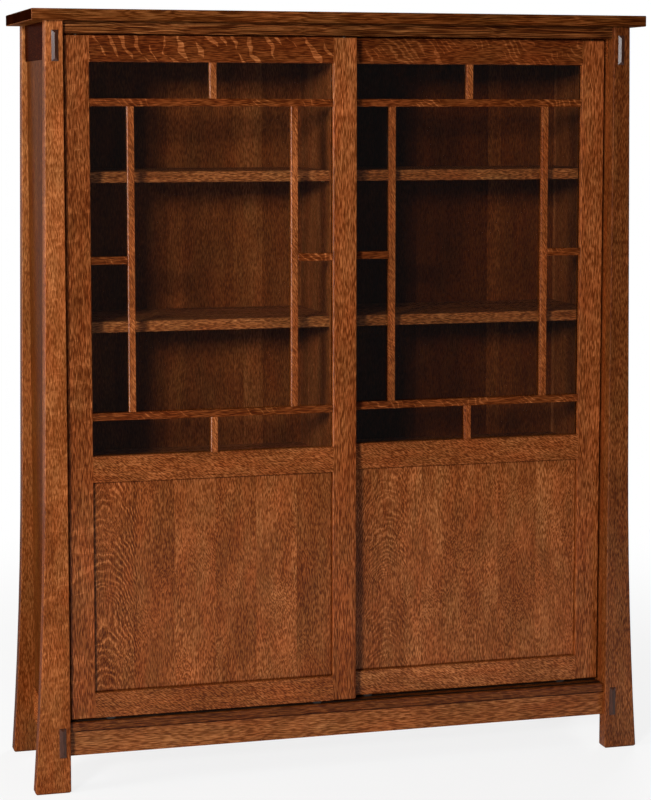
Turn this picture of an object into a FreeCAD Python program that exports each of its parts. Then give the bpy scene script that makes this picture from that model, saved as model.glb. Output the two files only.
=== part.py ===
"""Mission-style bookcase with two by-passing sliding doors.

Frame: millimetres, +Z up, +X to the right, the doors face -Y. The origin is
on the floor, under the middle of the bounding box. Every driving size is a
cell of the sheet "Sizes"; "Layout" holds the places worked out from them.
"""

import FreeCAD, Part
import math
import os
import re
import Sketcher

V = FreeCAD.Vector

# Driving sizes: alias, value in mm (or a count), what it is.
SIZES = (
    ("overall_height", "1829", "floor to the top of the slab"),
    ("top_side_overhang", "33.5", "slab past the tops of the legs, each side"),
    ("top_depth", "427", "slab, front to back"),
    ("top_thickness", "26", "slab"),
    ("top_front_overhang", "21.5", "slab past the front face of the legs"),
    ("edge_ease", "1.5", "chamfer on the edges that a hand meets"),
    ("fine_ease", "1", "chamfer on muntins and small trim"),
    ("opening_width", "1353", "between the inner faces of the legs"),
    ("leg_thickness", "37.5", "leg, front to back"),
    ("leg_top_width", "41", "leg under the slab, side to side"),
    ("leg_waist_width", "54", "leg where the taper turns into the flare"),
    ("leg_foot_width", "84", "leg at the floor"),
    ("leg_waist_height", "713", "floor to the start of the flare"),
    ("sole_ease", "4", "chamfer round the sole of a leg"),
    ("housing_depth", "8", "how far rails and panels are let into the legs"),
    ("tenon_length", "14", "tenons of the side rails"),
    ("tenon_thickness", "14", "tenons of the side rails"),
    ("tenon_inset", "11.7", "inner face of the side rail to its tenon"),
    ("tenon_shoulder", "6", "rail edge to tenon, above and below"),
    ("side_rail_reveal", "4", "how far the side rails stand out past the panels"),
    ("upper_rail_height", "86", "upper side rail"),
    ("side_panel_thickness", "29.5", "side panels"),
    ("panel_tongue", "8", "how far the side panel enters the side rails"),
    ("apron_bottom", "83", "floor to the underside of the apron"),
    ("apron_height", "59", "apron, front and rear"),
    ("apron_thickness", "15", "apron, front to back"),
    ("apron_setback", "22.5", "leg front to apron front"),
    ("sill_thickness", "23", "sill and case bottom"),
    ("sill_setback", "12.5", "leg front to sill and header front"),
    ("sill_depth", "64.5", "sill, front to back"),
    ("header_height", "28.5", "header rail and guide strips"),
    ("guide_slot", "8", "groove between the header strips"),
    ("partition_thickness", "19", "centre partition"),
    ("back_thickness", "8", "back panel"),
    ("back_setback", "6.5", "rear face of the legs to the back panel"),
    ("shelf_thickness", "26", "shelves"),
    ("shelf_setback", "80", "leg front to shelf front"),
    ("shelf_end_gap", "1", "play at each end of an adjustable shelf"),
    ("shelf_housing", "6", "how far a fixed shelf enters the boards"),
    ("fixed_shelf_top", "752.5", "floor to the top of the fixed shelf"),
    ("pin_pitch", "32", "spacing of the shelf-pin holes"),
    ("lowest_pin", "436", "floor to the pins of the lower shelf"),
    ("middle_steps", "20", "pitches from the lower to the middle shelf"),
    ("upper_steps", "31", "pitches from the lower to the upper shelf"),
    ("pin_diameter", "5", "shelf pins and their holes"),
    ("pin_seat", "9", "depth of a pin in a side panel"),
    ("pin_reach", "9", "length of a pin under the shelf"),
    ("front_pin_inset", "89.5", "shelf front to the front pins"),
    ("rear_pin_inset", "75", "back panel to the rear pins"),
    ("plug_width", "16", "dark tenon end, across"),
    ("plug_height", "71", "dark tenon end, high"),
    ("plug_seat", "12", "depth of the tenon end in the leg"),
    ("plug_proud", "1", "how far its straight sides stand out"),
    ("plug_crown", "2.5", "height of its hipped crown"),
    ("plug_ridge", "1.6", "width of the crown's ridge"),
    ("plug_inset", "10.7", "inner face of the leg to the tenon end"),
    ("plug_drop", "57", "slab to the middle of the upper tenon end"),
    ("lower_plug_centre", "121", "floor to the middle of the lower tenon end"),
    ("door_thickness", "22", "both doors"),
    ("door_side_gap", "4.5", "closed door to the leg"),
    ("door_overlap", "54", "width the closed doors share"),
    ("door_setback", "17", "leg front to the face of the front door"),
    ("door_spacing", "9.2", "between the two doors"),
    ("door_head_gap", "4", "door to the header"),
    ("door_foot_gap", "6.5", "sill to the door"),
    ("stile_width", "58", "door stiles"),
    ("top_rail_height", "60.5", "door top rail"),
    ("mid_rail_height", "62", "door middle rail"),
    ("bottom_rail_height", "59.5", "door bottom rail"),
    ("panel_opening", "501.5", "wood panel between its rails"),
    ("groove_depth", "10", "groove and rabbet round panel and glass"),
    ("groove_play", "0.2", "panel or glass edge to the groove's floor"),
    ("panel_recess", "12", "door face to panel and glass"),
    ("panel_thickness", "6", "wood panel, and width of its groove"),
    ("glass_thickness", "4", "glass pane"),
    ("muntin_height", "18", "cross muntins"),
    ("muntin_width", "16.5", "upright muntins"),
    ("muntin_setback", "1", "door face to muntin face"),
    ("border_light_height", "83.5", "small panes above and below"),
    ("border_light_width", "87", "small panes at the sides"),
    ("guide_pin_diameter", "7", "pins in the top edge of a door"),
    ("guide_pin_rise", "14", "length of a guide pin above the door"),
    ("guide_pin_seat", "20", "length of a guide pin in the stile"),
    ("track_channel", "9", "between the lips of a track"),
    ("track_base", "1", "thickness of the track's floor"),
    ("track_lip", "1.5", "thickness of the track's lips"),
    ("track_lip_height", "2.4", "lips above the track's floor"),
    ("track_sink", "0.2", "top of the lips below the sill's top"),
    ("track_end_gap", "3", "track end to the leg"),
    ("roller_clearance", "0.3", "roller above the track's floor"),
    ("roller_radius", "14", "roller's tread"),
    ("roller_width", "7", "roller, along its axle"),
    ("axle_diameter", "4", "roller axle"),
    ("axle_clearance", "0.05", "bore radius over axle radius"),
    ("axle_length", "18", "roller axle"),
    ("roller_inset", "96", "door edge to the roller's axle"),
    ("pocket_width", "10", "roller pocket, across the door"),
    ("pocket_length", "38", "roller pocket, along the door"),
    ("pocket_depth", "30", "roller pocket, up from the door's edge"),
)

# Worked-out places and sizes: alias, formula in the names above and before.
LAYOUT = (
    ("front_y", "top_front_overhang - top_depth / 2"),
    ("back_y", "top_depth / 2"),
    ("top_width", "opening_width + 2 * leg_top_width + 2 * top_side_overhang"),
    ("leg_x", "opening_width / 2"),
    ("slab_bottom", "overall_height - top_thickness"),
    ("upper_plug_centre", "slab_bottom - plug_drop"),
    ("leg_span", "back_y - front_y - 2 * leg_thickness"),
    ("upper_rail_bottom", "slab_bottom - upper_rail_height"),
    ("sill_bottom", "apron_bottom + apron_height"),
    ("sill_top", "sill_bottom + sill_thickness"),
    ("lower_rail_height", "sill_top - apron_bottom"),
    ("header_bottom", "slab_bottom - header_height"),
    ("header_front_y", "front_y + sill_setback"),
    ("sill_back_y", "header_front_y + sill_depth"),
    ("back_panel_y", "back_y - back_setback - back_thickness"),
    ("door_bottom", "sill_top + door_foot_gap"),
    ("door_height", "header_bottom - door_head_gap - door_bottom"),
    ("door_width", "opening_width / 2 - door_side_gap + door_overlap / 2"),
    ("front_door_y", "front_y + door_setback"),
    ("door_pitch_y", "door_thickness + door_spacing"),
    ("front_slot_y", "front_door_y + door_thickness / 2 - guide_slot / 2"),
    ("left_door_x", "door_side_gap - leg_x"),
    ("right_door_x", "-door_overlap / 2"),
    ("rail_length", "door_width - 2 * stile_width"),
    ("edge_hold", "groove_depth - groove_play"),
    ("mid_rail_z", "bottom_rail_height + panel_opening"),
    ("glass_z", "mid_rail_z + mid_rail_height"),
    ("glass_opening", "door_height - top_rail_height - glass_z"),
    ("upright_height", "glass_opening - 2 * border_light_height - 2 * muntin_height"),
    ("middle_light", "rail_length - 2 * border_light_width - 2 * muntin_width"),
    ("side_rail_thickness", "side_panel_thickness + side_rail_reveal"),
    ("track_width", "track_channel + 2 * track_lip"),
    ("track_bed", "track_base + track_lip_height + track_sink"),
    ("axle_z", "roller_radius + roller_clearance + track_base - track_bed - door_foot_gap"),
    ("bay_width", "leg_x - partition_thickness / 2"),
    ("shelf_y", "front_y + shelf_setback"),
    ("shelf_depth", "back_panel_y - shelf_y"),
    ("shelf_rise", "pin_diameter / 2"),
    ("front_pin_y", "shelf_y + front_pin_inset"),
    ("rear_pin_y", "back_panel_y - rear_pin_inset"),
)

KNOWN = {}


def qualified(text):
    """Give each size its sheet's name, so that an expression can use it."""
    return re.sub(r"[a-z_]+[a-z]", lambda word: KNOWN.get(word.group(), word.group()), text)


def fill_sheet(doc, name, rows, formula):
    """Write one row per entry: a label, then the aliased cell."""
    sheet = doc.addObject("Spreadsheet::Sheet", name)
    for number, row in enumerate(rows, start=1):
        sheet.set("A{}".format(number), row[0].replace("_", " "))
        value = "=" + qualified(row[1]) if formula else row[1]
        sheet.set("B{}".format(number), value)
        sheet.setAlias("B{}".format(number), row[0])
        if not formula:
            sheet.set("C{}".format(number), row[2])
        KNOWN[row[0]] = "{}.{}".format(name, row[0])
    doc.recompute()
    return sheet


def bind(obj, prop, text):
    """Tie a property to an expression in the sheets' names."""
    obj.setExpression(prop, qualified(text))


def place(obj, where):
    """Tie the three coordinates of a placement."""
    for axis, text in zip("xyz", where):
        bind(obj, "Placement.Base." + axis, text)


doc = FreeCAD.newDocument("sliding_door_bookcase")
sizes = fill_sheet(doc, "Sizes", SIZES, False)
layout = fill_sheet(doc, "Layout", LAYOUT, True)
nodes = {}


def size(name):
    """Read a driving or worked-out size as a number."""
    sheet = sizes if KNOWN[name].startswith("Sizes") else layout
    return float(sheet.get(name))


def keep(obj, label):
    """Name a finished sub-part."""
    obj.Label = label
    nodes[label] = obj
    return obj


def new_body(label, where):
    """Start a body with its corner at a bound place."""
    body = doc.addObject("PartDesign::Body", "Body")
    place(body, where)
    return keep(body, label)


def block(body, extent, corner=("0", "0", "0"), kind="PartDesign::AdditiveBox"):
    """Add a box feature, or with another kind take one away."""
    box = body.newObject(kind, "Block")
    for prop, text in zip(("Length", "Width", "Height"), extent):
        bind(box, prop, text)
    place(box, corner)
    doc.recompute()
    return box


def cut(body, extent, corner):
    """Take a box away from a body."""
    return block(body, extent, corner, "PartDesign::SubtractiveBox")


def bore(body, diameter, depth, where, direction):
    """Drill a round hole from a point along a direction."""
    hole = body.newObject("PartDesign::SubtractiveCylinder", "Bore")
    bind(hole, "Radius", "({}) / 2".format(diameter))
    bind(hole, "Height", depth)
    hole.Placement.Rotation = FreeCAD.Rotation(V(0, 0, 1), direction)
    place(hole, where)
    doc.recompute()
    return hole


def ease(body, name="edge_ease", edges=None):
    """Chamfer all edges of the stock, or the chosen ones."""
    stock = body.Tip
    chamfer = body.newObject("PartDesign::Chamfer", "Ease")
    chamfer.Base = (stock, edges or [])
    chamfer.UseAllEdges = edges is None
    bind(chamfer, "Size", name)
    doc.recompute()
    return chamfer


def board(label, extent, where, eased="edge_ease"):
    """A plain board, eased all round unless told otherwise."""
    body = new_body(label, where)
    block(body, extent)
    if eased:
        ease(body, eased)
    return body


def edges_where(shape, test):
    """Names of the edges whose middle passes a test."""
    found = []
    for number, edge in enumerate(shape.Edges, start=1):
        if test(edge.CenterOfMass):
            found.append("Edge{}".format(number))
    return found


def stopped_bevel(body, length, where, direction=V(0, 0, 1)):
    """Chamfer a stretch of an edge: a square bar turned on its corner."""
    bar = body.newObject("PartDesign::SubtractiveBox", "Bevel")
    side = "edge_ease * sqrt(2)"
    turn = FreeCAD.Rotation(V(0, 0, 1), 45)
    if direction.x:
        bind(bar, "Length", length)
        bind(bar, "Width", side)
        bind(bar, "Height", side)
        bar.Placement.Rotation = FreeCAD.Rotation(V(1, 0, 0), 45)
        place(bar, (where[0], where[1], where[2] + " - edge_ease"))
    else:
        bind(bar, "Length", side)
        bind(bar, "Width", side)
        bind(bar, "Height", length)
        bar.Placement.Rotation = turn
        place(bar, (where[0], where[1] + " - edge_ease", where[2]))
    doc.recompute()
    return bar


def mirrored(source, label):
    """The same piece on the left of the case."""
    twin = doc.addObject("Part::Mirroring", "Twin")
    twin.Source = source
    twin.Normal = (1, 0, 0)
    return keep(twin, label)


def grouped(label, members):
    """Equal small pieces that share a node and stay separate solids."""
    group = doc.addObject("Part::Compound", "Group")
    group.Links = members
    return keep(group, label)


# --- legs -------------------------------------------------------------------

def flare_arc():
    """Centre, radius and end angles of the outer sweep of a leg.

    The arc leaves the straight taper tangentially at the waist and reaches
    the foot's width at the floor.
    """
    waist = V(size("leg_waist_width"), size("leg_waist_height"), 0)
    top = V(size("leg_top_width"), size("slab_bottom"), 0)
    foot = V(size("leg_foot_width"), 0, 0)
    taper = (waist - top).normalize()
    normal = V(-taper.y, taper.x, 0)
    chord = foot - waist
    radius = chord.Length ** 2 / (2 * chord.dot(normal))
    centre = waist + normal * radius
    start = math.atan2(waist.y - centre.y, waist.x - centre.x)
    end = math.atan2(foot.y - centre.y, foot.x - centre.x)
    return centre, abs(radius), start, end


def leg_profile(body):
    """Sketch the leg in the XZ plane, its inner edge on the sketch's Y axis."""
    plane = [f for f in body.Origin.OriginFeatures if f.Role == "XZ_Plane"][0]
    sketch = body.newObject("Sketcher::SketchObject", "Profile")
    sketch.AttachmentSupport = [(plane, "")]
    sketch.MapMode = "FlatFace"
    top = size("slab_bottom")
    width = size("leg_top_width")
    waist = V(size("leg_waist_width"), size("leg_waist_height"), 0)
    foot = V(size("leg_foot_width"), 0, 0)
    centre, radius, start, end = flare_arc()
    inner = sketch.addGeometry(Part.LineSegment(V(0, 0, 0), V(0, top, 0)))
    head = sketch.addGeometry(Part.LineSegment(V(0, top, 0), V(width, top, 0)))
    taper = sketch.addGeometry(Part.LineSegment(V(width, top, 0), waist))
    circle = Part.Circle(centre, V(0, 0, 1), radius)
    flare = sketch.addGeometry(Part.ArcOfCircle(circle, min(start, end), max(start, end)))
    sole = sketch.addGeometry(Part.LineSegment(foot, V(0, 0, 0)))
    arc = sketch.Geometry[flare]
    waist_end = 1 if (arc.StartPoint - waist).Length < (arc.EndPoint - waist).Length else 2
    foot_end = 3 - waist_end
    add = sketch.addConstraint
    add(Sketcher.Constraint("Coincident", inner, 1, -1, 1))
    add(Sketcher.Constraint("Coincident", inner, 2, head, 1))
    add(Sketcher.Constraint("Coincident", head, 2, taper, 1))
    add(Sketcher.Constraint("Tangent", taper, 2, flare, waist_end))
    add(Sketcher.Constraint("Coincident", flare, foot_end, sole, 1))
    add(Sketcher.Constraint("Coincident", sole, 2, inner, 1))
    add(Sketcher.Constraint("Vertical", inner))
    add(Sketcher.Constraint("Horizontal", head))
    add(Sketcher.Constraint("Horizontal", sole))
    drive(sketch, "DistanceY", inner, 1, inner, 2, top, "slab_bottom")
    drive(sketch, "DistanceX", head, 1, head, 2, width, "leg_top_width")
    drive(sketch, "DistanceX", inner, 1, taper, 2, waist.x, "leg_waist_width")
    drive(sketch, "DistanceY", inner, 1, taper, 2, waist.y, "leg_waist_height")
    drive(sketch, "DistanceX", sole, 2, sole, 1, foot.x, "leg_foot_width")
    doc.recompute()
    return sketch


def drive(sketch, kind, first, first_end, second, second_end, value, text):
    """Add a dimension and tie it to the sheets."""
    number = sketch.addConstraint(
        Sketcher.Constraint(kind, first, first_end, second, second_end, value))
    bind(sketch, "Constraints[{}]".format(number), text)


def pad(body, sketch, length):
    """Pad a sketch so that the piece lies at +Y of the sketch plane."""
    feature = body.newObject("PartDesign::Pad", "Pad")
    feature.Profile = sketch
    bind(feature, "Length", length)
    feature.Reversed = True
    doc.recompute()
    if feature.Shape.BoundBox.YMax < 1e-6:
        feature.Reversed = False
        doc.recompute()
    return feature


def leg(label, y):
    """A right-hand leg with eased edges and sole, before its housings."""
    body = new_body(label, ("leg_x", y, "0"))
    pad(body, leg_profile(body), "leg_thickness")
    ease(body, "sole_ease", edges_where(body.Tip.Shape, lambda middle: middle.z < 1e-6))
    low = 2 * size("sole_ease")
    top = size("slab_bottom")
    ease(body, edges=edges_where(body.Tip.Shape, lambda middle: low < middle.z < top))
    return body


def house_side_pieces(body, y_rail, y_panel):
    """Mortise a leg for the side rails and groove it for the side panel."""
    for bottom, height in (("upper_rail_bottom", "upper_rail_height"),
                           ("apron_bottom", "lower_rail_height")):
        cut(body, ("tenon_thickness", "tenon_length", height + " - 2 * tenon_shoulder"),
            ("tenon_inset", y_rail, bottom + " + tenon_shoulder"))
    cut(body, ("side_panel_thickness", "housing_depth", "upper_rail_bottom - sill_top"),
        ("0", y_panel, "sill_top"))


def front_leg():
    """Front leg: rails, panel, apron, header rail and two tenon ends."""
    body = leg("front_right_leg", "front_y")
    house_side_pieces(body, "leg_thickness - tenon_length", "leg_thickness - housing_depth")
    cut(body, ("housing_depth", "apron_thickness", "apron_height"),
        ("0", "apron_setback", "apron_bottom"))
    cut(body, ("housing_depth", "front_slot_y - header_front_y", "header_height"),
        ("0", "sill_setback", "header_bottom"))
    for centre in ("upper_plug_centre", "lower_plug_centre"):
        cut(body, ("plug_width", "plug_seat", "plug_height"),
            ("plug_inset", "0", centre + " - plug_height / 2"))
    return body


def rear_leg():
    """Rear leg: rails, panel, rear apron and the groove for the back."""
    body = leg("rear_right_leg", "back_y - leg_thickness")
    house_side_pieces(body, "0", "0")
    cut(body, ("housing_depth", "back_thickness", "slab_bottom - apron_bottom - apron_height"),
        ("0", "leg_thickness - back_setback - back_thickness", "sill_bottom"))
    cut(body, ("housing_depth", "apron_thickness", "apron_height"),
        ("0", "leg_thickness - back_setback - apron_thickness", "apron_bottom"))
    cut(body, ("shelf_housing", "leg_thickness - back_setback - back_thickness",
               "shelf_thickness"),
        ("0", "0", "fixed_shelf_top - shelf_thickness"))
    return body


# --- case -------------------------------------------------------------------

def pin_holes(body, depth, y_offset, z_offset):
    """Drill the shelf-pin holes, at both rows of each adjustable shelf."""
    for steps in ("0", "middle_steps", "upper_steps"):
        for row in ("front_pin_y", "rear_pin_y"):
            z = "lowest_pin + ({}) * pin_pitch - ({})".format(steps, z_offset)
            y = "{} - ({})".format(row, y_offset)
            bore(body, "pin_diameter", depth, ("0", y, z), V(1, 0, 0))


def side_panel():
    """Right side panel with its pin holes and the fixed shelf's housing."""
    body = new_body("right_side_panel",
                    ("leg_x", "front_y + leg_thickness - housing_depth", "sill_top - panel_tongue"))
    block(body, ("side_panel_thickness", "leg_span + 2 * housing_depth",
                 "upper_rail_bottom - sill_top + 2 * panel_tongue"))
    for z in ("0", "upper_rail_bottom - sill_top + panel_tongue"):
        for y in ("0", "leg_span + housing_depth"):
            cut(body, ("side_panel_thickness", "housing_depth", "panel_tongue"), ("0", y, z))
    inset = "leg_thickness - housing_depth"
    cut(body, ("shelf_housing", "leg_span + housing_depth - shelf_setback + leg_thickness",
               "shelf_thickness"),
        ("0", "shelf_setback - ({})".format(inset),
         "fixed_shelf_top - shelf_thickness - sill_top + panel_tongue"))
    pin_holes(body, "pin_seat", "front_y + " + inset, "sill_top - panel_tongue")
    return body


def side_rail(label, bottom, height, tongue_z):
    """Side rail with a tenon at each end and the groove for the panel."""
    body = new_body(label, ("leg_x", "front_y + leg_thickness", bottom))
    block(body, ("side_rail_thickness", "leg_span", height))
    block(body, ("tenon_thickness", "leg_span + 2 * tenon_length",
                 height + " - 2 * tenon_shoulder"),
          ("tenon_inset", "-tenon_length", "tenon_shoulder"))
    cut(body, ("side_panel_thickness", "leg_span", "panel_tongue"), ("0", "0", tongue_z))
    return body


def partition():
    """Centre partition: its through pins carry the shelves of both bays."""
    body = new_body("centre_partition", ("-partition_thickness / 2", "shelf_y", "sill_top"))
    block(body, ("partition_thickness", "shelf_depth", "slab_bottom - sill_top"))
    for x in ("0", "partition_thickness - shelf_housing"):
        cut(body, ("shelf_housing", "shelf_depth", "shelf_thickness"),
            (x, "0", "fixed_shelf_top - shelf_thickness - sill_top"))
    pin_holes(body, "partition_thickness", "shelf_y", "sill_top")
    return body


def shelves():
    """One fixed and three adjustable shelves to each bay."""
    levels = (("lower", "0"), ("middle", "middle_steps"), ("upper", "upper_steps"))
    loose = "bay_width - 2 * shelf_end_gap"
    fixed = "bay_width + 2 * shelf_housing"
    for side, x in (("left", "-leg_x"), ("right", "partition_thickness / 2")):
        for name, steps in levels:
            board("{}_{}_shelf".format(side, name), (loose, "shelf_depth", "shelf_thickness"),
                  (x + " + shelf_end_gap", "shelf_y",
                   "lowest_pin + {} * pin_pitch + shelf_rise".format(steps)))
        board("{}_fixed_shelf".format(side), (fixed, "shelf_depth", "shelf_thickness"),
              (x + " - shelf_housing", "shelf_y", "fixed_shelf_top - shelf_thickness"), None)


def shelf_pins():
    """Two pins in each side and two through the partition at every level."""
    pins = []
    short = "pin_seat + pin_reach"
    through = "partition_thickness + 2 * pin_reach"
    spots = (("-leg_x - pin_seat", short), ("leg_x - pin_reach", short),
             ("-partition_thickness / 2 - pin_reach", through))
    for steps in ("0", "middle_steps", "upper_steps"):
        for row in ("front_pin_y", "rear_pin_y"):
            for x, length in spots:
                pin = doc.addObject("Part::Cylinder", "Pin")
                bind(pin, "Radius", "pin_diameter / 2")
                bind(pin, "Height", length)
                pin.Placement.Rotation = FreeCAD.Rotation(V(0, 0, 1), V(1, 0, 0))
                place(pin, (x, row, "lowest_pin + {} * pin_pitch".format(steps)))
                pins.append(pin)
    return grouped("shelf_pins", pins)


def tenon_plugs():
    """Four dark tenon ends with hipped crowns, proud of the front legs."""
    plugs = []
    for x in ("leg_x + plug_inset", "-leg_x - plug_inset - plug_width"):
        for centre in ("upper_plug_centre", "lower_plug_centre"):
            body = doc.addObject("PartDesign::Body", "Plug")
            place(body, (x, "front_y - plug_proud", centre + " - plug_height / 2"))
            block(body, ("plug_width", "plug_seat + plug_proud", "plug_height"))
            crown(body)
            plugs.append(body)
    return grouped("tenon_plugs", plugs)


def crown(body):
    """Hipped crown: four facets that rise from the face to a narrow ridge."""
    wedge = body.newObject("PartDesign::AdditiveWedge", "Crown")
    hip = "(plug_width - plug_ridge) / 2"
    values = (("Xmin", "0"), ("Xmax", "plug_width"), ("Zmin", "0"), ("Zmax", "plug_height"),
              ("Ymin", "0"), ("Ymax", "plug_crown"), ("X2min", hip),
              ("X2max", "plug_width - " + hip), ("Z2min", hip),
              ("Z2max", "plug_height - " + hip))
    for prop, text in values:
        bind(wedge, prop, text)
    wedge.Placement.Rotation = FreeCAD.Rotation(V(0, 0, 1), 180)
    place(wedge, ("plug_width", "0", "0"))
    doc.recompute()
    return wedge


def sill():
    """Sill with a groove for each track, open at both ends."""
    body = board("sill", ("opening_width", "sill_depth", "sill_thickness"),
                 ("-leg_x", "header_front_y", "sill_bottom"))
    for lane in ("0", "door_pitch_y"):
        middle = "front_door_y + door_thickness / 2 - header_front_y + " + lane
        cut(body, ("opening_width", "track_width", "track_bed"),
            ("0", middle + " - track_width / 2", "sill_thickness - track_bed"))
    return body


def door_tracks():
    """Two channels let into the sill, one under each door."""
    tracks = []
    for lane in ("0", "door_pitch_y"):
        body = doc.addObject("PartDesign::Body", "Track")
        middle = "front_door_y + door_thickness / 2 + " + lane
        place(body, ("track_end_gap - leg_x", middle, "sill_top - track_bed"))
        length = "opening_width - 2 * track_end_gap"
        block(body, (length, "track_width", "track_base + track_lip_height"),
              ("0", "-track_width / 2", "0"))
        cut(body, (length, "track_channel", "track_lip_height"),
            ("0", "-track_channel / 2", "track_base"))
        tracks.append(body)
    return grouped("door_tracks", tracks)


def case():
    """Everything that stands still."""
    board("top_panel", ("top_width", "top_depth", "top_thickness"),
          ("-top_width / 2", "-top_depth / 2", "slab_bottom"))
    mirrored(front_leg(), "front_left_leg")
    mirrored(rear_leg(), "rear_left_leg")
    mirrored(side_rail("right_upper_side_rail", "upper_rail_bottom", "upper_rail_height", "0"),
             "left_upper_side_rail")
    mirrored(side_rail("right_lower_side_rail", "apron_bottom", "lower_rail_height",
                       "lower_rail_height - panel_tongue"), "left_lower_side_rail")
    mirrored(side_panel(), "left_side_panel")
    partition()
    board("back_panel", ("opening_width + 2 * housing_depth", "back_thickness",
                         "slab_bottom - sill_bottom"),
          ("-leg_x - housing_depth", "back_panel_y", "sill_bottom"), None)
    apron = ("opening_width + 2 * housing_depth", "apron_thickness", "apron_height")
    board("front_apron", apron,
          ("-leg_x - housing_depth", "front_y + apron_setback", "apron_bottom"), None)
    board("rear_apron", apron,
          ("-leg_x - housing_depth", "back_y - back_setback - apron_thickness", "apron_bottom"),
          None)
    sill()
    board("case_bottom", ("opening_width", "back_panel_y - sill_back_y", "sill_thickness"),
          ("-leg_x", "sill_back_y", "sill_bottom"), None)
    board("header_rail", ("opening_width + 2 * housing_depth", "front_slot_y - header_front_y",
                          "header_height"),
          ("-leg_x - housing_depth", "header_front_y", "header_bottom"), None)
    board("middle_guide_strip", ("opening_width", "door_pitch_y - guide_slot", "header_height"),
          ("-leg_x", "front_slot_y + guide_slot", "header_bottom"), None)
    board("rear_guide_strip", ("opening_width", "front_slot_y - header_front_y",
                               "header_height"),
          ("-leg_x", "front_slot_y + door_pitch_y + guide_slot", "header_bottom"), None)
    shelves()
    shelf_pins()
    tenon_plugs()
    door_tracks()


# --- doors ------------------------------------------------------------------

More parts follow.
